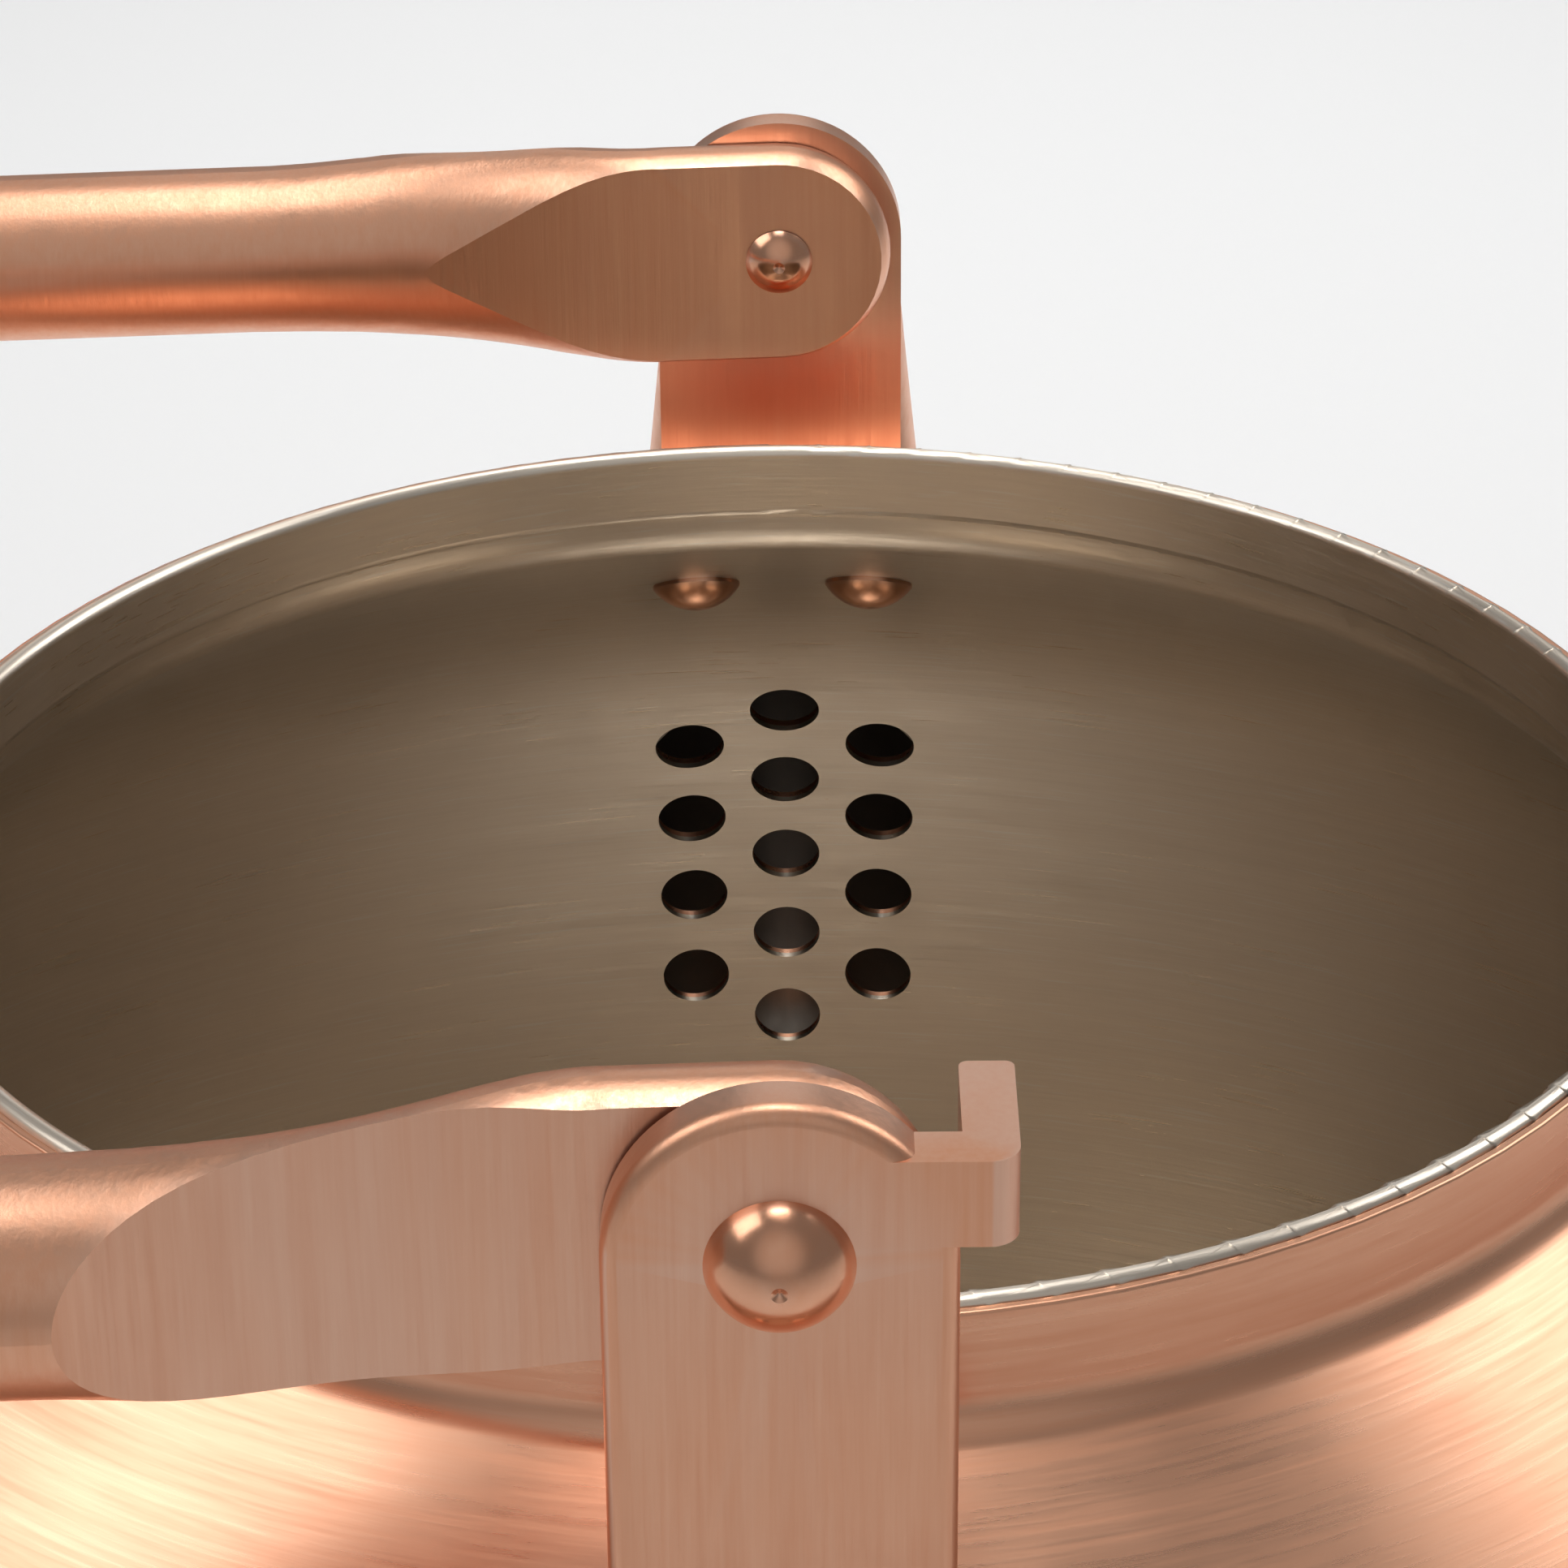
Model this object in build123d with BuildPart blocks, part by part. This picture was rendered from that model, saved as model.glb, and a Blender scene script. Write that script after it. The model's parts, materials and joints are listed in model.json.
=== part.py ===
"""Stove-top kettle with a folding bail handle, in millimetres.

Frame: +Z up, origin at the centre of the base on the surface it stands on.
The spout points along +Y. The handle turns about the Y direction and lies folded towards -X.
The wall is two bonded sheets: a steel liner inside and a copper shell outside.
"""

import os
from math import asin, cos, degrees, radians, sin, tan

from build123d import *

os.makedirs("parts", exist_ok=True)

# ---------------------------------------------------------------- driving dimensions
# Body wall, measured on its inner face. A tilt is the wall's lean from vertical, in degrees.
belly_radius = 96.6  # widest inner radius
belly_height = 43.2  # height of the widest ring
belly_arc = 100.0  # profile radius round the widest ring
shoulder_arc = 51.4  # profile radius of the shoulder
corner_arc = 24.0  # profile radius of the bottom corner
shoulder_tilt = 26.5  # lean where the belly arc meets the shoulder arc
cone_tilt = 56.3  # lean where the shoulder arc runs out into a straight cone
corner_tilt = 10.5  # inward lean where the belly arc meets the corner arc
collar_radius = 54.3  # inner radius of the upright collar
collar_height = 7.8  # from the top of the cone to the top of the mouth
neck_fillet = 3.0  # outside, between cone and collar
liner_gauge = 0.5
shell_gauge = 0.5
flange_radius = 62.0  # opening in the shell's bottom, filled by the heat core

# Lip of the liner, folded inwards at the mouth
hem_gauge = 0.9
hem_depth = 5.3
hem_round = 0.63  # lower edge of the fold
lip_flat = 0.04  # width left flat on top of the lip
shell_drop = 0.5  # top edge of the shell below the top of the lip
shell_edge = 0.2  # rounding of the shell's top edge

# Base
cap_gauge = 0.8
cap_radius = 70.0
cap_fillet = 0.6
core_clearance = 0.1

# Strainer, punched through both sheets
strainer_hole = 5.5
strainer_pitch = 8.87  # along the wall
strainer_column = 7.61  # from the middle column to a side column
strainer_tilt = 16.3  # lean of the wall at the middle hole
middle_rows = 5
side_rows = 4

# Spout. Each station is (out from the strainer, up from the strainer, half width, half height).
spout_gauge = 0.6
spout_root = (-11.6, -6.6, 16.6, 27.0)
spout_waist = (20.0, 17.0, 12.2, 13.8)
spout_end = (42.0, 46.0, 9.0, 9.0)
spout_root_rise = 34.0  # slope of the spout at its root, in degrees
spout_waist_rise = 44.0
spout_end_rise = 56.0
spout_mouth_drop = 14.0  # cut of the spout's mouth below the rim

# Brackets
bracket_gap = 9.7  # from the collar's outside to the bracket's inner face
bracket_width = 17.4
bracket_gauge = 2.75
bracket_round = 0.9  # rounding of the outline on the outer face
pivot_rise = 11.2  # handle axis above the rim
foot_width = 26.0
foot_length = 14.0
foot_corner = 5.0
stop_gap = 0.9  # between the handle's round end and the stop
stop_low = 1.0  # stop tab relative to the handle axis
stop_high = 5.8
stop_depth = 9.3  # how far the tab reaches inwards from the bracket's outer face
stop_bend = 1.5  # outside radius of the tab's bend
stop_round = 0.5

# Rivets
rivet_spread = 12.9
rivet_out = 4.7  # from the bracket's inner face to the rivets, on the wall's inner face
rivet_shank = 3.6
rivet_head = 6.5
rivet_dome = 1.7
rivet_bed = 0.3  # how far a head is drawn into the sheet before it is trimmed to it
rivet_clearance = 0.04

# Handle and its pins
bar_diameter = 11.8
bar_relief = 0.05  # inner flat of the end proud of the bar's inner side
end_gauge = 4.0
end_radius = 7.9
end_bulge = 5.0  # half thickness of the end before its flats are cut
end_length = 8.0  # full-width stretch of the end
shift_end = 25.0  # where the end has moved out to the bar's own axis
widening_end = 38.0  # where the widening has run out into the round bar
outer_flat = 12.0  # from the axis to the end of the outer flat
outer_ramp = 36.0  # radius of the cut that runs out of the outer flat
arm_length = 72.0  # from the axis to the start of the bent corner
grip_corner = 36.0
grip_crown = 16.0  # half angle of the grip's bowed stretch, in degrees
rest_droop = 1.7  # folded handle below horizontal, in degrees
side_gap = 0.35  # between bracket and handle
pin_diameter = 4.0
pin_clearance = 0.05
pin_fit = 0.02
pin_head = 7.4
pin_dome = 2.6
pin_tip = 4.7
pin_tip_dome = 1.2
pin_tip_gap = 0.1
pin_mark = 0.9  # centre mark in both ends
pin_mark_depth = 0.35

# ---------------------------------------------------------------- derived places
wall_gauge = liner_gauge + shell_gauge


def on_arc(centre, radius, tilt):
    """Point (r, z) of a profile arc where the wall leans by tilt."""
    return (centre[0] + radius * cos(radians(tilt)), centre[1] + radius * sin(radians(tilt)))


belly_centre = (belly_radius - belly_arc, belly_height)
shoulder_centre = on_arc(belly_centre, belly_arc - shoulder_arc, shoulder_tilt)
corner_centre = on_arc(belly_centre, belly_arc - corner_arc, -corner_tilt)
floor_height = corner_centre[1] - corner_arc
cone_rise = tan(radians(90 - cone_tilt))


def cone_height(radius, offset):
    """Height of the straight cone at a radius, on the sheet offset outwards from the inner face."""
    start = on_arc(shoulder_centre, shoulder_arc + offset, cone_tilt)
    return start[1] + (start[0] - radius) * cone_rise


rim_height = cone_height(collar_radius, 0) + collar_height
collar_outside = collar_radius + wall_gauge
lip_gauge = hem_gauge + liner_gauge
bracket_inside = collar_outside + bracket_gap
bracket_outside = bracket_inside + bracket_gauge
pivot_height = rim_height + pivot_rise
end_outside = bracket_inside - side_gap
end_inside = end_outside - end_gauge
end_middle = end_outside - end_gauge / 2
bar_radius = bar_diameter / 2
bar_offset = bar_radius - end_gauge / 2 + bar_relief  # bar axis outside the middle of the flattened end


def wall_section(offset):
    """Half section of all that lies inside the sheet at an offset out from the wall's inner face."""
    neck = (collar_radius + offset, cone_height(collar_radius + offset, offset))
    bottom = floor_height - offset
    with BuildSketch(Plane.XZ) as section:
        with BuildLine():
            inner_corners = ((0, bottom), (0, rim_height), (neck[0], rim_height))
            Polyline((corner_centre[0], bottom), *inner_corners, neck)
            Line(neck, on_arc(shoulder_centre, shoulder_arc + offset, cone_tilt))
            CenterArc(shoulder_centre, shoulder_arc + offset, shoulder_tilt, cone_tilt - shoulder_tilt)
            CenterArc(belly_centre, belly_arc + offset, -corner_tilt, shoulder_tilt + corner_tilt)
            CenterArc(corner_centre, corner_arc + offset, -90, 90 - corner_tilt)
        make_face()
        neck_round = neck_fillet + wall_gauge - offset
        if neck_round > 0:
            fillet(section.vertices().sort_by_distance((*neck, 0))[0], radius=neck_round)
    return section.sketch


def wall_place(radius, height, tilt, azimuth):
    """Plane on the wall's inner face, Z along the outward normal. Azimuth is from +Y, in degrees."""
    turn = radians(azimuth)
    outward = Vector(sin(turn), cos(turn), 0)
    normal = outward * cos(radians(tilt)) + Vector(0, 0, sin(radians(tilt)))
    return Plane(outward * radius + Vector(0, 0, height), x_dir=(cos(turn), -sin(turn), 0), z_dir=normal)


def strainer_place(rows_up, column):
    """Place of one strainer hole, counted in rows up from the middle one."""
    tilt = strainer_tilt + degrees(rows_up * strainer_pitch / belly_arc)
    radius, height = on_arc(belly_centre, belly_arc, tilt)
    return wall_place(radius, height, tilt, degrees(asin(column * strainer_column / radius)))


middle_places = [strainer_place(row - (middle_rows - 1) / 2, 0) for row in range(middle_rows)]
side_places = [
    strainer_place(row - (side_rows - 1) / 2, side)  # the two side columns
    for side in (-1, 1)
    for row in range(side_rows)
]
strainer_places = middle_places + side_places

# Rivets sit in pairs on the straight cone, in front of and behind the mouth.
rivet_radius = bracket_inside + rivet_out
rivet_turn = degrees(asin(rivet_spread / 2 / rivet_radius))


def rivet_pair(azimuth):
    """Places of one bracket's two rivets."""
    height = cone_height(rivet_radius, 0)
    return [wall_place(rivet_radius, height, cone_tilt, azimuth + side * rivet_turn) for side in (-1, 1)]


front_rivet_places = rivet_pair(0)
rear_rivet_places = rivet_pair(180)
rivet_hole = rivet_shank / 2 + rivet_clearance
punch_length = 8 * wall_gauge  # well past both sheets on the curved wall
rivet_punch_length = 4 * (wall_gauge + bracket_gauge)

# ---------------------------------------------------------------- body
with BuildPart() as body_block:  # the body without its hollow, to trim what stands on it
    revolve(wall_section(wall_gauge), axis=Axis.Z)

with BuildPart() as body_shell:
    with BuildSketch(Plane.XZ):
        add(wall_section(wall_gauge))
        add(wall_section(liner_gauge), mode=Mode.SUBTRACT)
        with Locations((0, floor_height)):
            Rectangle(2 * flange_radius, 4 * wall_gauge, mode=Mode.SUBTRACT)
        with Locations((collar_radius, rim_height)):
            Rectangle(4 * wall_gauge, 2 * shell_drop, mode=Mode.SUBTRACT)
    revolve(axis=Axis.Z)
    fillet(body_shell.edges().group_by(Axis.Z)[-1].sort_by(SortBy.RADIUS)[-1], radius=shell_edge)
    with Locations(*strainer_places):
        Cylinder(strainer_hole / 2, punch_length, mode=Mode.SUBTRACT)
    with Locations(*front_rivet_places, *rear_rivet_places):
        Cylinder(rivet_hole, rivet_punch_length, mode=Mode.SUBTRACT)

with BuildPart() as body_liner:
    with BuildSketch(Plane.XZ):
        add(wall_section(liner_gauge))
        add(wall_section(0), mode=Mode.SUBTRACT)
        with Locations((collar_radius - hem_gauge, rim_height)):
            Rectangle(lip_gauge, hem_depth, align=(Align.MIN, Align.MAX))
        with Locations((collar_radius, floor_height - liner_gauge)):
            Rectangle(4 * collar_radius, hem_gauge, align=(Align.CENTER, Align.MAX), mode=Mode.SUBTRACT)
    revolve(axis=Axis.Z)
    fillet(body_liner.edges().group_by(Axis.Z)[-1], radius=(lip_gauge - lip_flat) / 2)
    hem_edges = body_liner.edges().filter_by(GeomType.CIRCLE)
    hem_corner = hem_edges.sort_by_distance((collar_radius - hem_gauge, 0, rim_height - hem_depth))[0]
    fillet(hem_corner, radius=hem_round)
    with Locations(*strainer_places):
        Cylinder(strainer_hole / 2, punch_length, mode=Mode.SUBTRACT)
    with Locations(*front_rivet_places, *rear_rivet_places):
        Cylinder(rivet_hole, rivet_punch_length, mode=Mode.SUBTRACT)

cap_height = floor_height - wall_gauge
with BuildPart() as heat_core:
    with BuildSketch(Plane.XY.offset(cap_gauge)):
        Circle(cap_radius - cap_gauge - core_clearance)
    extrude(amount=cap_height - cap_gauge)
    with BuildSketch(Plane.XY.offset(cap_height)):
        Circle(flange_radius - core_clearance)
    extrude(amount=shell_gauge)

with BuildPart() as base_cap:
    with BuildSketch():
        Circle(cap_radius)
    extrude(amount=cap_height)
    with BuildSketch(Plane.XY.offset(cap_gauge)):
        Circle(cap_radius - cap_gauge)
    extrude(amount=cap_height, mode=Mode.SUBTRACT)
    fillet(base_cap.edges().group_by(Axis.Z)[0], radius=cap_fillet)

# ---------------------------------------------------------------- spout
strainer_radius, strainer_height = on_arc(belly_centre, belly_arc, strainer_tilt)
spout_mouth_height = rim_height - spout_mouth_drop


def spout_section(station, rise, inset):
    """Section of the spout at one station, with its surface moved inwards by inset."""
    out, up, half_width, half_height = station
    slope = Vector(0, cos(radians(rise)), sin(radians(rise)))
    place = Plane((0, strainer_radius + out, strainer_height + up), x_dir=(1, 0, 0), z_dir=slope)
    with BuildSketch(place) as section:
        Ellipse(half_width - inset, half_height - inset)
    return section.sketch.face()


def spout_skin(inset):
    """The whole spout as a block with its surface moved inwards by inset."""
    sections = [
        spout_section(spout_root, spout_root_rise, inset),
        spout_section(spout_waist, spout_waist_rise, inset),
        spout_section(spout_end, spout_end_rise, inset),
    ]
    with BuildPart() as skin:
        loft(sections)
    return skin.part


def spout_sheet(outer, inner):
    """One sheet of the spout, trimmed to the body and to the cut of the mouth."""
    with BuildPart() as sheet:
        add(spout_skin(outer))
        add(spout_skin(inner), mode=Mode.SUBTRACT)
        add(body_block.part, mode=Mode.SUBTRACT)
        split(bisect_by=Plane.XY.offset(spout_mouth_height), keep=Keep.BOTTOM)
    return sheet.part


with BuildPart() as spout_shell:
    add(spout_sheet(0, spout_gauge))

with BuildPart() as spout_liner:
    add(spout_sheet(spout_gauge, 2 * spout_gauge))

# ---------------------------------------------------------------- brackets
plate_bottom = cone_height(bracket_outside, 0)

with BuildPart() as bracket_foot:
    with BuildSketch(Plane.XZ):
        add(wall_section(wall_gauge + bracket_gauge))
        add(wall_section(wall_gauge), mode=Mode.SUBTRACT)
    revolve(axis=Axis.Z)
    with BuildSketch(Plane.XY.offset(belly_height)) as foot_outline:
        with Locations((0, bracket_inside)):
            Rectangle(foot_width, foot_length, align=(Align.CENTER, Align.MIN))
        fillet(foot_outline.vertices().group_by(Axis.Y)[-1], radius=foot_corner)
    extrude(amount=rim_height, mode=Mode.INTERSECT)

with BuildPart() as bracket_plate:
    with BuildSketch(Plane.XZ.offset(-bracket_inside)):
        with Locations((0, pivot_height)):
            Circle(bracket_width / 2)
            Rectangle(bracket_width, pivot_height - plate_bottom, align=(Align.CENTER, Align.MAX))
    extrude(amount=-bracket_gauge)
    outline = bracket_plate.faces().sort_by(Axis.Y)[-1].edges().sort_by(Axis.Z)[1:]
    fillet(outline, radius=bracket_round)

with BuildPart() as front_bracket:
    add(bracket_foot.part)
    add(bracket_plate.part)
    add(body_block.part, mode=Mode.SUBTRACT)
    with Locations(Plane((0, bracket_inside, pivot_height), z_dir=(0, 1, 0))):
        Cylinder(pin_diameter / 2 + pin_fit, 4 * bracket_gauge, mode=Mode.SUBTRACT)
    with Locations(*front_rivet_places):
        Cylinder(rivet_hole, rivet_punch_length, mode=Mode.SUBTRACT)

stop_inside = end_radius + stop_gap
stop_outside = stop_inside + bracket_gauge
with BuildPart() as rear_bracket:
    mirror(front_bracket.part, about=Plane.XZ)
    with BuildSketch(Plane.XY.offset(pivot_height + stop_low)) as stop_outline:
        with Locations((stop_outside, -bracket_outside)):
            Rectangle(stop_outside - bracket_width / 4, bracket_gauge, align=(Align.MAX, Align.MIN))
            Rectangle(bracket_gauge, stop_depth, align=(Align.MAX, Align.MIN))
        fillet(stop_outline.vertices().group_by(Axis.Y)[0].sort_by(Axis.X)[-1], radius=stop_bend)
        fillet(stop_outline.vertices().group_by(Axis.Y)[-1], radius=stop_round)
    extrude(amount=stop_high - stop_low)

# ---------------------------------------------------------------- rivets and pins
pin_reach = bracket_gauge + side_gap + end_gauge + pin_tip_gap  # from the bracket's outer face inwards


def dome(diameter, rise):
    """Flat-based dome on XY, rising along +Z."""
    radius = ((diameter / 2) ** 2 + rise**2) / (2 * rise)
    spread = degrees(asin(diameter / 2 / radius))
    with BuildPart() as cap:
        with BuildSketch(Plane.XZ):
            with BuildLine():
                Polyline((0, rise), (0, 0), (diameter / 2, 0))
                CenterArc((0, rise - radius), radius, 90 - spread, spread)
            make_face()
        revolve(axis=Axis.Z)
    return cap.part


def rivet_set(places, bracket):
    """Two rivets through the wall and a bracket's foot, their heads bedded on liner and foot."""
    far_seat = wall_gauge + bracket_gauge
    with BuildPart() as blank:
        with Locations((0, 0, -rivet_bed)):
            shank_length = far_seat + 2 * rivet_bed
            Cylinder(rivet_shank / 2, shank_length, align=(Align.CENTER, Align.CENTER, Align.MIN))
        with Locations((0, 0, -rivet_bed), (0, 0, far_seat)):
            Cylinder(rivet_head / 2, rivet_bed * 2, align=(Align.CENTER, Align.CENTER, Align.MIN))
        with Locations((0, 0, far_seat + rivet_bed)):
            add(dome(rivet_head, rivet_dome))
        with Locations((0, 0, -rivet_bed)):
            add(dome(rivet_head, rivet_dome), rotation=(180, 0, 0))
    with BuildPart() as rivets:
        with Locations(*places):
            add(blank.part)
        add(body_liner.part, mode=Mode.SUBTRACT)
        add(body_shell.part, mode=Mode.SUBTRACT)
        add(bracket, mode=Mode.SUBTRACT)
    return rivets.part


def centre_mark():
    """Cutter for the small cone left by a lathe centre, point down from XY."""
    with BuildPart() as cutter:
        Cone(0, pin_mark / 2, pin_mark_depth, align=(Align.CENTER, Align.CENTER, Align.MAX))
        Cylinder(pin_mark / 2, pin_mark_depth, align=(Align.CENTER, Align.CENTER, Align.MIN))
    return cutter.part


def pivot_pin(side):
    """Pin through one bracket and one end of the handle. side is +1 in front and -1 behind."""
    place = Plane((0, side * bracket_outside, pivot_height), x_dir=(1, 0, 0), z_dir=(0, side, 0))
    with BuildPart() as pin:
        with Locations(place):
            add(dome(pin_head, pin_dome))
            Cylinder(pin_diameter / 2, pin_reach, align=(Align.CENTER, Align.CENTER, Align.MAX))
        with Locations(place.offset(-pin_reach)):
            add(dome(pin_tip, pin_tip_dome), rotation=(180, 0, 0))
        with Locations(place.offset(pin_dome)):
            add(centre_mark(), mode=Mode.SUBTRACT)
        with Locations(place.offset(-pin_reach - pin_tip_dome)):
            add(centre_mark(), rotation=(180, 0, 0), mode=Mode.SUBTRACT)
    return pin.part


with BuildPart() as front_rivets:
    add(rivet_set(front_rivet_places, front_bracket.part))

with BuildPart() as rear_rivets:
    add(rivet_set(rear_rivet_places, rear_bracket.part))

with BuildPart() as front_pin:
    add(pivot_pin(1))

with BuildPart() as rear_pin:
    add(pivot_pin(-1))

# ---------------------------------------------------------------- handle, flat about its own axis
bar_start = (-widening_end, end_middle + bar_offset)
widening_stations = (0, 0.2, 0.4, 0.6, 0.8, 1)  # shares of the way from the full width to the round bar


def eased(run, end):
    """0 at the end of the full width and 1 at end, easing in and out."""
    share = min((run - end_length) / (end - end_length), 1)
    return share * share * (3 - 2 * share)


def widening_section(share):
    """Section of the handle's end at a share of the way from the full width to the round bar."""
    run = end_length + (widening_end - end_length) * share
    shift = eased(run, shift_end)
    half_thickness = end_bulge + (bar_radius - end_bulge) * shift
    half_width = end_radius + (bar_radius - end_radius) * eased(run, widening_end)
    with BuildSketch(Plane.YZ.offset(-run)) as section:
        with Locations((end_middle + bar_offset * shift, 0)):
            Ellipse(half_thickness, half_width)
    return section.sketch.face()


with BuildPart() as handle_end:
    loft([widening_section(share) for share in widening_stations])
    with BuildSketch(Plane.YZ):
        with Locations((end_middle, 0)):
            Ellipse(end_bulge, end_radius)
    extrude(amount=-end_length)
    with BuildSketch(Plane.YZ):
        with Locations((end_middle, 0)):
            Ellipse(end_bulge, end_radius)
            Rectangle(2 * end_bulge, end_radius, align=(Align.CENTER, Align.MAX), mode=Mode.SUBTRACT)
    revolve(axis=Axis.Y, revolution_arc=180)
    with BuildSketch(Plane.XY):
        with Locations((2 * end_radius, end_inside)):
            Rectangle(2 * end_radius + shift_end, 2 * end_bulge, align=(Align.MAX, Align.MAX))
        with Locations((-outer_flat, end_outside + outer_ramp)):
            Circle(outer_ramp)
        with Locations((-outer_flat, end_outside)):
            Rectangle(3 * end_radius, 2 * end_bulge, align=(Align.MIN, Align.MIN))
    extrude(amount=end_radius * 2, both=True, mode=Mode.SUBTRACT)
    with Locations(Plane((0, end_middle, 0), z_dir=(0, 1, 0))):
        Cylinder(pin_diameter / 2 + pin_clearance, 4 * end_gauge, mode=Mode.SUBTRACT)

with BuildPart() as handle_bar:
    with BuildLine() as bar_line:
        arm = Line(bar_start, (-arm_length, bar_start[1]))
        corner = JernArc(arm @ 1, arm % 1, grip_corner, 90 - grip_crown)
        JernArc(corner @ 1, corner % 1, (corner @ 1).Y / sin(radians(grip_crown)), grip_crown)
    with BuildSketch(Plane(arm @ 0, x_dir=(0, 0, 1), z_dir=arm % 0)):
        Circle(bar_radius)
    sweep(path=bar_line.line)

with BuildPart() as handle:
    with Locations((0, 0, pivot_height)):
        for half in (handle_end.part, handle_bar.part):
            add(half, rotation=(0, -rest_droop, 0))
            add(half.mirror(Plane.XZ), rotation=(0, -rest_droop, 0))

# ---------------------------------------------------------------- one file for each piece
pieces = {
    "body_shell": body_shell,
    "body_liner": body_liner,
    "heat_core": heat_core,
    "base_cap": base_cap,
    "spout_shell": spout_shell,
    "spout_liner": spout_liner,
    "front_bracket": front_bracket,
    "rear_bracket": rear_bracket,
    "front_rivets": front_rivets,
    "rear_rivets": rear_rivets,
    "front_pin": front_pin,
    "rear_pin": rear_pin,
    "handle": handle,
}
for name, piece in pieces.items():
    piece.part.label = name
    export_step(piece.part, f"parts/{name}.step")
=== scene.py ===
"""Looks, light and camera for a copper stove-top kettle whose handle lies folded to one side."""

import json
from math import cos, radians, sin

import bpy
from mathutils import Matrix, Vector


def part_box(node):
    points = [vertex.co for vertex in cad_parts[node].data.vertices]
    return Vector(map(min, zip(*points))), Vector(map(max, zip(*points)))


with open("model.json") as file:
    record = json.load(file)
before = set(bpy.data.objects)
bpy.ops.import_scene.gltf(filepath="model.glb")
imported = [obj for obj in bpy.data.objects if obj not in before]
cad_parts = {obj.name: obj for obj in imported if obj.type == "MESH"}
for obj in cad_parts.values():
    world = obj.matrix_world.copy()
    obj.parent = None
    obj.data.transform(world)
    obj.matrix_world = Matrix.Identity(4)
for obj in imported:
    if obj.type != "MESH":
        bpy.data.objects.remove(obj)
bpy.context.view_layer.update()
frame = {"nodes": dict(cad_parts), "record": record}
nodes = frame["nodes"]

# ---------------------------------------------------------------- settings, in metres and linear colour
COPPER = (0.93, 0.52, 0.345)
COPPER_DEEP = (0.88, 0.43, 0.26)
STEEL = (0.93, 0.825, 0.70)
STEEL_DARK = (0.85, 0.745, 0.625)
SPOUT_STEEL = (0.30, 0.26, 0.22)
SCRATCH = (0.95, 0.92, 0.86)
DULL_ALUMINIUM = (0.62, 0.62, 0.63)
FLOOR_COLOUR = (0.93, 0.93, 0.93)
# Strength of the sky: SKY_NEAR on the camera's side, SKY_FAR elsewhere. One turns into the other between
# the two cosines of SKY_FADE, which are of the angle from the line of sight, seen backwards.
SKY_NEAR = 0.45
SKY_FAR = 0.2
SKY_FADE = (0.7, 1.0)
FLOOR_SIZE = 6.0
FLOOR_ROUGHNESS = 0.9

# Relief and tone of the brushing marks
MARK_RANGE = (0.35, 0.65)  # where the values of the noise lie
FINE_SHARE = 0.65
COARSE_SHARE = 0.35
COARSE_SCALE = 0.22  # of the coarse marks, against the fine ones
TONE_FROM_MARKS = 0.6
TONE_FROM_CLOUD = 0.4
CLOUD_SCALE = 18.0  # slow change of tone
HAZE_SCALE = 140.0  # small change of roughness
HAZE_RANGE = (0.3, 0.7)
HAZE_SWING = 0.02
ROUGHNESS_SWING = 0.05
STREAK_SCALE = 1.6
STREAK_RANGE = (0.62, 0.72)
WEAR_RANGE = (0.52, 0.6)
RELIEF = 0.0002
ACROSS_THE_GRAIN = 0.25  # anisotropic rotation, in turns

LENS = 115.4
SENSOR = 36.0
CAMERA_RISE = 0.1441  # above the rim
CAMERA_BACK = 0.270
CAMERA_SIDE = 0.0011
CAMERA_PITCH = 27.83
CAMERA_YAW = 0.19  # to the left
CAMERA_ROLL = -0.54

MM_PER_M = 1000
rim_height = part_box("body_liner")[1].z
lid_seat = next(mount for mount in frame["record"]["mounts"] if mount["name"] == "lid_seat")
seat_radius = lid_seat["dims"]["r_mm"] / MM_PER_M
LIP_ROUND = 0.0007
NECK_OUT = 0.0049
NECK_DROP = 0.00566
NECK_END_OUT = 0.00324
# Radius and height of the centre of each round section: the top of the lip, and the hollow at the collar's foot
LIP_RING = (seat_radius + LIP_ROUND, rim_height - LIP_ROUND)
NECK_RING = (seat_radius + NECK_OUT, rim_height - NECK_DROP)
NECK_END = seat_radius + NECK_END_OUT  # the exact normal of that hollow is used inside this radius


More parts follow.
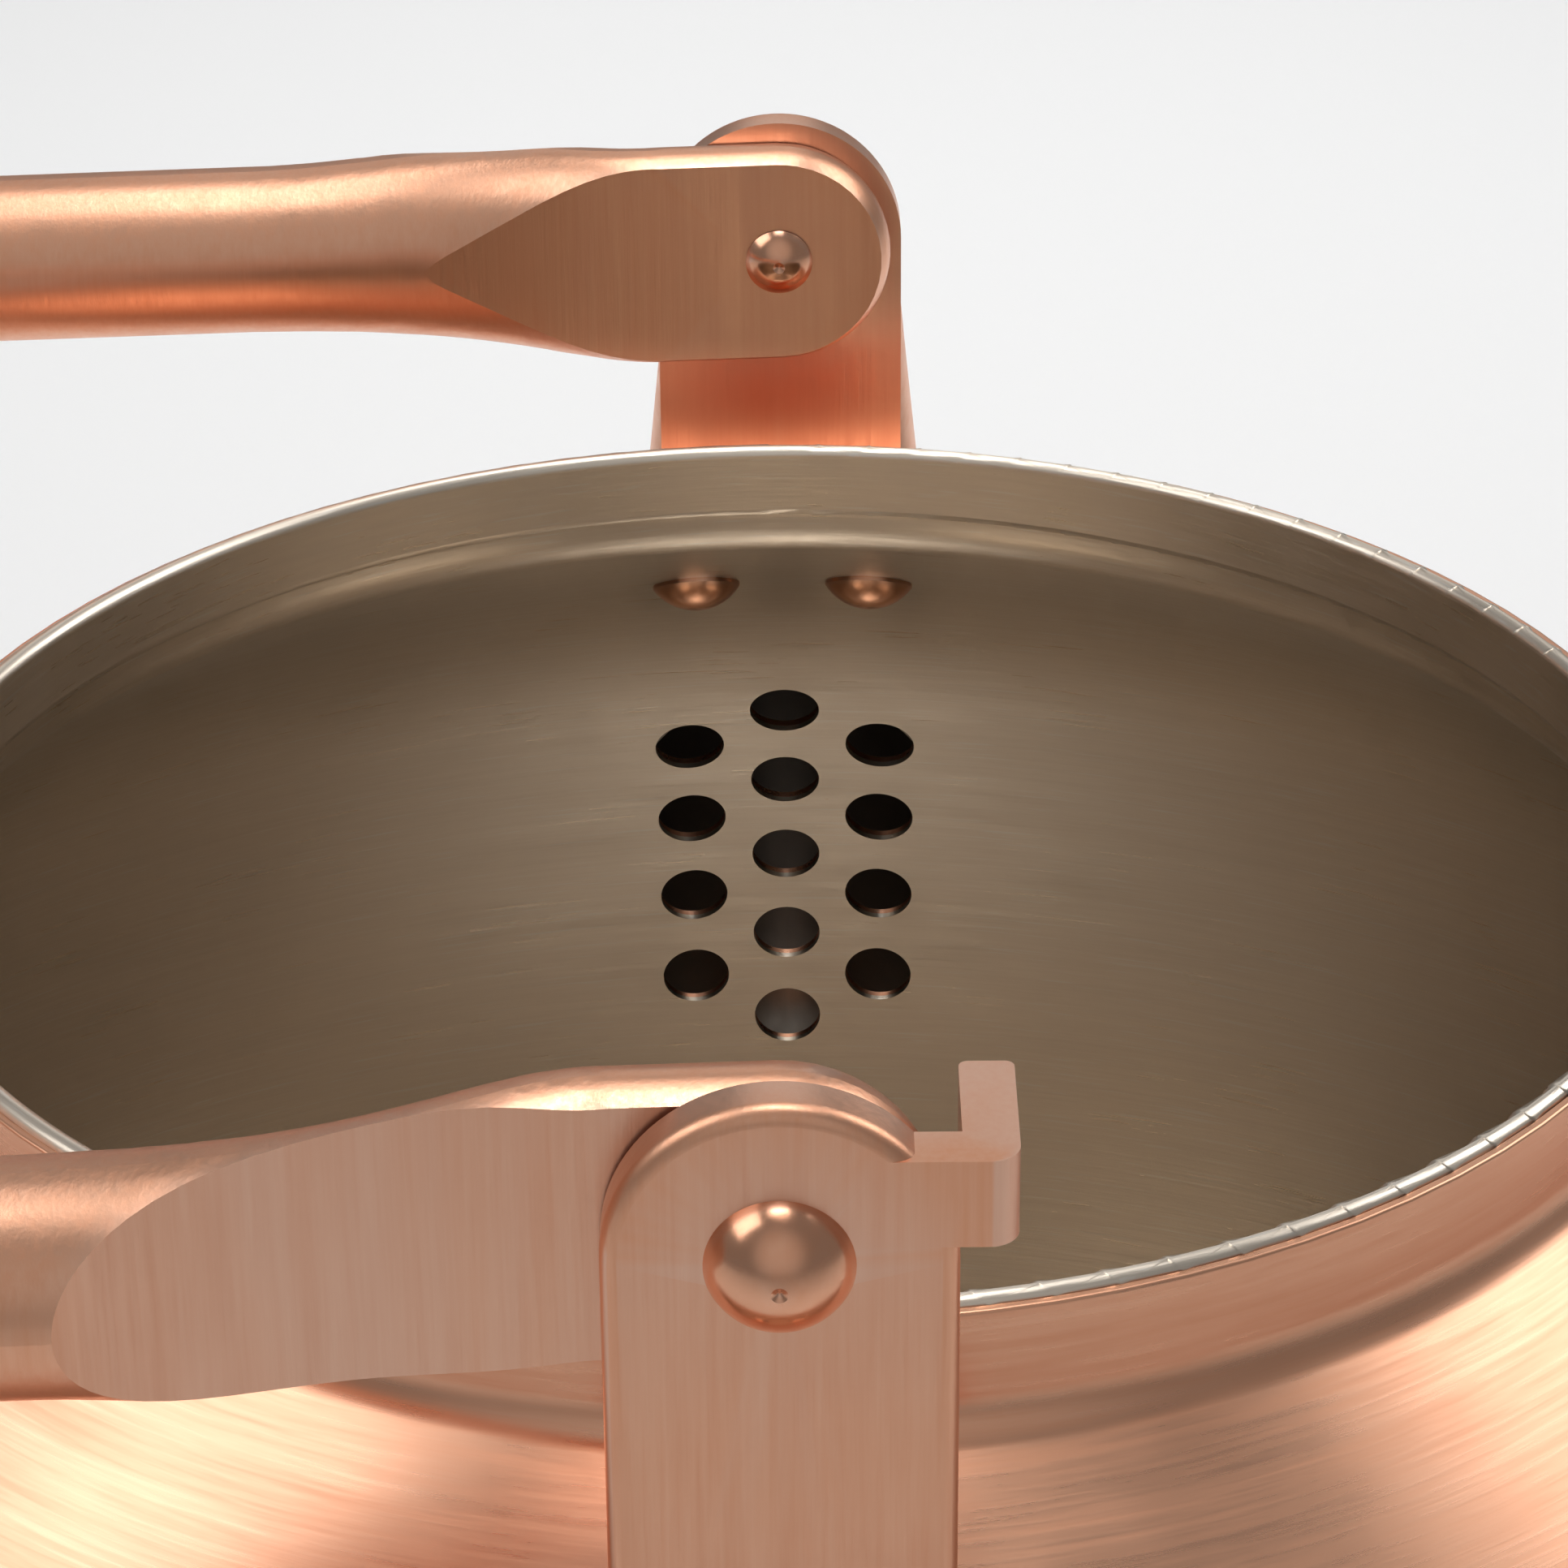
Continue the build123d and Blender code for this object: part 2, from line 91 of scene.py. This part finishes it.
# ---------------------------------------------------------------- shader building
class Shader:
    """A node material being built, with short calls for the nodes used here."""

    def __init__(self, name):
        self.material = bpy.data.materials.new(name)
        self.material.use_nodes = True
        self.nodes = self.material.node_tree.nodes
        self.links = self.material.node_tree.links
        self.surface = self.nodes["Principled BSDF"]

    def put(self, socket, value):
        """Links a socket to an input, or sets the input to a plain value."""
        if isinstance(value, bpy.types.NodeSocket):
            self.links.new(value, socket)
        else:
            socket.default_value = value

    def math(self, operation, a, b=0.0, c=0.0):
        node = self.nodes.new("ShaderNodeMath")
        node.operation = operation
        for socket, value in zip(node.inputs, (a, b, c)):
            self.put(socket, value)
        return node.outputs[0]

    def combine(self, x, y, z):
        node = self.nodes.new("ShaderNodeCombineXYZ")
        for socket, value in zip(node.inputs, (x, y, z)):
            self.put(socket, value)
        return node.outputs[0]

    def position(self):
        """X, Y and Z of the point, in metres in the object's own frame."""
        place = self.nodes.new("ShaderNodeTexCoord")
        split = self.nodes.new("ShaderNodeSeparateXYZ")
        self.links.new(place.outputs["Object"], split.inputs[0])
        return split.outputs[0], split.outputs[1], split.outputs[2]

    def noise(self, vector, scale, detail, roughness=0.5, w=None):
        node = self.nodes.new("ShaderNodeTexNoise")
        node.noise_dimensions = "3D" if w is None else "4D"
        self.put(node.inputs["Vector"], vector)
        if w is not None:
            self.put(node.inputs["W"], w)
        node.inputs["Scale"].default_value = scale
        node.inputs["Detail"].default_value = detail
        node.inputs["Roughness"].default_value = roughness
        return node.outputs["Fac"]

    def spread(self, value, low, high, to_low=0.0, to_high=1.0):
        """Value between low and high, spread over to_low and to_high."""
        node = self.nodes.new("ShaderNodeMapRange")
        for socket, given in zip(node.inputs, (value, low, high, to_low, to_high)):
            self.put(socket, given)
        return node.outputs[0]

    def mix(self, share, first, second):
        node = self.nodes.new("ShaderNodeMix")
        node.data_type = "RGBA"
        self.put(node.inputs["Factor"], share)
        for socket, colour in ((node.inputs["A"], first), (node.inputs["B"], second)):
            self.put(socket, colour if isinstance(colour, bpy.types.NodeSocket) else (*colour, 1.0))
        return node.outputs["Result"]

    def bump(self, height, strength, distance, normal=None):
        node = self.nodes.new("ShaderNodeBump")
        node.inputs["Strength"].default_value = strength
        node.inputs["Distance"].default_value = distance
        self.put(node.inputs["Height"], height)
        if normal is not None:
            self.put(node.inputs["Normal"], normal)
        return node.outputs[0]

    def ring_normal(self, ring, hollow=False):
        """World normal of a ring about Z. ring is the radius and height of the centre of its round section."""
        x, y, z = self.position()
        radius = self.radius(x, y)
        outward = self.math("SUBTRACT", radius, ring[0])
        rise = self.math("SUBTRACT", z, ring[1])
        if hollow:
            outward = self.math("MULTIPLY", outward, -1.0)
            rise = self.math("MULTIPLY", rise, -1.0)
        lean = self.math("DIVIDE", outward, radius)
        turn = self.nodes.new("ShaderNodeVectorTransform")
        turn.vector_type = "NORMAL"
        turn.convert_from = "OBJECT"
        turn.convert_to = "WORLD"
        lean_x = self.math("MULTIPLY", x, lean)
        lean_y = self.math("MULTIPLY", y, lean)
        self.put(turn.inputs[0], self.combine(lean_x, lean_y, rise))
        return turn.outputs[0]

    def radius(self, x, y):
        """Distance from the Z axis."""
        squares = self.math("ADD", self.math("MULTIPLY", x, x), self.math("MULTIPLY", y, y))
        return self.math("SQRT", squares)

    def choose(self, share, first, second):
        """A vector: first where share is 0, second where it is 1."""
        node = self.nodes.new("ShaderNodeMix")
        node.data_type = "VECTOR"
        self.put(node.inputs["Factor"], share)
        self.put(node.inputs["A"], first)
        self.put(node.inputs["B"], second)
        return node.outputs["Result"]

    def edges(self):
        """Share of wear on the outward edges."""
        geometry = self.nodes.new("ShaderNodeNewGeometry")
        return self.spread(geometry.outputs["Pointiness"], *WEAR_RANGE)


def round_grain(shader, along, across):
    """Streaks that run round the Z axis: coarse along the brushing, fine across it."""
    x, y, z = shader.position()
    radius = shader.radius(x, y)
    turn_x = shader.math("MULTIPLY", shader.math("DIVIDE", x, radius), along)
    turn_y = shader.math("MULTIPLY", shader.math("DIVIDE", y, radius), along)
    vector = shader.combine(turn_x, turn_y, shader.math("MULTIPLY", z, across))
    return vector, shader.math("MULTIPLY", radius, across)


def straight_grain(shader, axis, along, across):
    """Streaks along one axis of the object."""
    scales = [along if name == axis else across for name in "xyz"]
    scaled = [shader.math("MULTIPLY", p, scale) for p, scale in zip(shader.position(), scales)]
    return shader.combine(*scaled), 0.0


def lip_normal(shader):
    """Normal of the liner, exact on the rounded top of the lip."""
    z = shader.position()[2]
    plain = shader.nodes.new("ShaderNodeNewGeometry").outputs["Normal"]
    on_lip = shader.math("GREATER_THAN", z, LIP_RING[1])
    return shader.choose(on_lip, plain, shader.ring_normal(LIP_RING))


def neck_normal(shader):
    """Normal of the shell, exact in the hollow where the cone meets the collar."""
    x, y, z = shader.position()
    plain = shader.nodes.new("ShaderNodeNewGeometry").outputs["Normal"]
    below = shader.math("LESS_THAN", z, NECK_RING[1])
    inside = shader.math("LESS_THAN", shader.radius(x, y), NECK_END)
    in_hollow = shader.math("MULTIPLY", below, inside)
    return shader.choose(in_hollow, plain, shader.ring_normal(NECK_RING, hollow=True))


def brushed_metal(
    name, colour, deep, roughness, grain, depth, anisotropy=0.0, wear=0.0, streaks=0.0, normal=None
):
    """Metal with brushing marks, a slow change of tone, and bright worn edges."""
    shader = Shader(name)
    surface = shader.surface
    vector, w = grain(shader)
    fine = shader.noise(vector, 1.0, 3.0, 0.6, w)
    coarse = shader.noise(vector, COARSE_SCALE, 2.0, 0.5, w)
    place = shader.nodes.new("ShaderNodeTexCoord").outputs["Object"]
    cloud = shader.noise(place, CLOUD_SCALE, 3.0)
    haze = shader.noise(place, HAZE_SCALE, 2.0)
    fine_part = shader.math("MULTIPLY", fine, FINE_SHARE)
    marks = shader.math("ADD", fine_part, shader.math("MULTIPLY", coarse, COARSE_SHARE))
    marks_tone = shader.spread(marks, *MARK_RANGE, 0.0, TONE_FROM_MARKS)
    cloud_tone = shader.spread(cloud, *MARK_RANGE, 0.0, TONE_FROM_CLOUD)
    tinted = shader.mix(shader.math("ADD", marks_tone, cloud_tone), deep, colour)
    if streaks:
        rare = shader.spread(shader.noise(vector, STREAK_SCALE, 1.0, 0.3, w), *STREAK_RANGE)
        tinted = shader.mix(shader.math("MULTIPLY", rare, streaks), tinted, SCRATCH)
    if wear:
        tinted = shader.mix(shader.math("MULTIPLY", shader.edges(), wear), tinted, SCRATCH)
    shader.put(surface.inputs["Base Color"], tinted)
    surface.inputs["Metallic"].default_value = 1.0
    marks_gloss = shader.spread(marks, *MARK_RANGE, roughness + ROUGHNESS_SWING, roughness - ROUGHNESS_SWING)
    haze_gloss = shader.spread(haze, *HAZE_RANGE, -HAZE_SWING, HAZE_SWING)
    shader.put(surface.inputs["Roughness"], shader.math("ADD", marks_gloss, haze_gloss))
    base_normal = normal(shader) if normal else None
    shader.put(surface.inputs["Normal"], shader.bump(marks, depth, RELIEF, base_normal))
    if anisotropy:
        tangent = shader.nodes.new("ShaderNodeTangent")
        tangent.direction_type = "RADIAL"
        tangent.axis = "Z"
        shader.put(surface.inputs["Tangent"], tangent.outputs[0])
        surface.inputs["Anisotropic"].default_value = anisotropy
        surface.inputs["Anisotropic Rotation"].default_value = ACROSS_THE_GRAIN
    return shader.material


def dress(material, *names):
    """Gives CAD nodes their material."""
    for name in names:
        slots = nodes[name].data.materials
        slots.clear()
        slots.append(material)


def round_lines(along, across):
    """Grain that runs round the Z axis."""
    return lambda shader: round_grain(shader, along, across)


def straight_lines(axis, along, across):
    """Grain that runs along one axis."""
    return lambda shader: straight_grain(shader, axis, along, across)


shell_lines = round_lines(6.0, 2600.0)
liner_lines = round_lines(9.0, 3600.0)
core_lines = round_lines(5.0, 900.0)
cap_lines = round_lines(5.0, 1800.0)
spout_lines = straight_lines("y", 60.0, 1800.0)
spout_liner_lines = straight_lines("y", 80.0, 900.0)
upright_lines = straight_lines("z", 90.0, 2600.0)
pin_lines = straight_lines("z", 500.0, 900.0)

copper = (COPPER, COPPER_DEEP)
steel = (STEEL, STEEL_DARK)
shell_copper = brushed_metal(
    "shell_copper", *copper, roughness=0.3, grain=shell_lines, depth=0.05, anisotropy=0.3, normal=neck_normal
)
liner_steel = brushed_metal(
    "liner_steel", *steel, roughness=0.32, grain=liner_lines, depth=0.18, anisotropy=0.5, streaks=0.45,
    normal=lip_normal
)
core_aluminium = brushed_metal(
    "core_aluminium", DULL_ALUMINIUM, STEEL_DARK, roughness=0.5, grain=core_lines, depth=0.2
)
cap_steel = brushed_metal(
    "cap_steel", *steel, roughness=0.4, grain=cap_lines, depth=0.2, anisotropy=0.5, wear=0.3
)
spout_copper = brushed_metal("spout_copper", *copper, roughness=0.36, grain=spout_lines, depth=0.08)
spout_steel = brushed_metal(
    "spout_steel", SPOUT_STEEL, SPOUT_STEEL, roughness=0.38, grain=spout_liner_lines, depth=0.2
)
bracket_copper = brushed_metal(
    "bracket_copper", *copper, roughness=0.36, grain=upright_lines, depth=0.12, wear=0.2
)
handle_copper = brushed_metal(
    "handle_copper", *copper, roughness=0.35, grain=upright_lines, depth=0.12, wear=0.15
)
polished_copper = brushed_metal(
    "polished_copper", *copper, roughness=0.2, grain=pin_lines, depth=0.05, wear=0.2
)

dress(shell_copper, "body_shell")
dress(liner_steel, "body_liner")
dress(core_aluminium, "heat_core")
dress(cap_steel, "base_cap")
dress(spout_copper, "spout_shell")
dress(spout_steel, "spout_liner")
dress(bracket_copper, "front_bracket", "rear_bracket")
dress(handle_copper, "handle")
dress(polished_copper, "front_rivets", "rear_rivets", "front_pin", "rear_pin")

# ---------------------------------------------------------------- floor
floor_mesh = bpy.data.meshes.new("floor")
half = FLOOR_SIZE / 2
corners = [(-half, -half, 0), (half, -half, 0), (half, half, 0), (-half, half, 0)]
floor_mesh.from_pydata(corners, [], [(0, 1, 2, 3)])
floor = bpy.data.objects.new("floor", floor_mesh)
bpy.context.scene.collection.objects.link(floor)
paint = Shader("floor_paint")
paint.surface.inputs["Base Color"].default_value = (*FLOOR_COLOUR, 1.0)
paint.surface.inputs["Roughness"].default_value = FLOOR_ROUGHNESS
floor_mesh.materials.append(paint.material)

# ---------------------------------------------------------------- light
world = bpy.data.worlds.new("studio")
bpy.context.scene.world = world
world.use_nodes = True
sky = world.node_tree
way = sky.nodes.new("ShaderNodeTexCoord")
lean = sky.nodes.new("ShaderNodeVectorMath")
lean.operation = "DOT_PRODUCT"
lean.inputs[1].default_value = (0.0, -cos(radians(CAMERA_PITCH)), sin(radians(CAMERA_PITCH)))
fade = sky.nodes.new("ShaderNodeMapRange")
fade.interpolation_type = "SMOOTHSTEP"
for socket, value in zip(list(fade.inputs)[1:5], (*SKY_FADE, SKY_FAR, SKY_NEAR)):
    socket.default_value = value
sky.links.new(way.outputs["Generated"], lean.inputs[0])
sky.links.new(lean.outputs["Value"], fade.inputs[0])
sky.links.new(fade.outputs[0], sky.nodes["Background"].inputs["Strength"])
sky.nodes["Background"].inputs["Color"].default_value = (1.0, 1.0, 1.0, 1.0)


def softbox(name, place, aim, size, power, beam=180.0):
    """A square area light at place, facing aim, its light kept within beam degrees."""
    light = bpy.data.lights.new(name, "AREA")
    light.shape = "SQUARE"
    light.size = size
    light.energy = power
    light.spread = radians(beam)
    lamp = bpy.data.objects.new(name, light)
    lamp.location = place
    lamp.rotation_euler = (Vector(aim) - Vector(place)).to_track_quat("-Z", "Y").to_euler()
    bpy.context.scene.collection.objects.link(lamp)


mouth = (0.0, 0.0, rim_height)
behind_kettle = (0.0, 0.46, 0.0)
softbox("top_light", (0.0, 0.03, 0.85), mouth, size=0.28, power=0.12, beam=50.0)
softbox("back_light", (0.0, 0.5, 0.85), behind_kettle, size=0.5, power=0.7, beam=68.0)
softbox("left_light", (-0.55, -0.05, 0.72), mouth, size=0.5, power=1.5)
softbox("right_light", (0.56, 0.28, 0.66), mouth, size=0.5, power=1.7)
softbox("horizon_light", (0.0, 1.2, 0.75), mouth, size=0.6, power=0.5)

# ---------------------------------------------------------------- camera
pitch = radians(CAMERA_PITCH)
roll = radians(CAMERA_ROLL)
yaw = radians(CAMERA_YAW)
forward = Vector((-sin(yaw) * cos(pitch), cos(yaw) * cos(pitch), -sin(pitch)))
level_right = Vector((cos(yaw), sin(yaw), 0.0))
level_up = level_right.cross(forward)
right = level_right * cos(roll) + level_up * sin(roll)
up = level_up * cos(roll) - level_right * sin(roll)
eye = bpy.data.cameras.new("camera")
eye.lens = LENS
eye.sensor_width = SENSOR
eye.clip_start = 0.01
camera = bpy.data.objects.new("camera", eye)
basis = Matrix((right, up, -forward)).transposed().to_4x4()
camera.matrix_world = Matrix.Translation((CAMERA_SIDE, -CAMERA_BACK, rim_height + CAMERA_RISE)) @ basis
bpy.context.scene.collection.objects.link(camera)
bpy.context.scene.camera = camera
bpy.context.scene.view_settings.view_transform = "Standard"
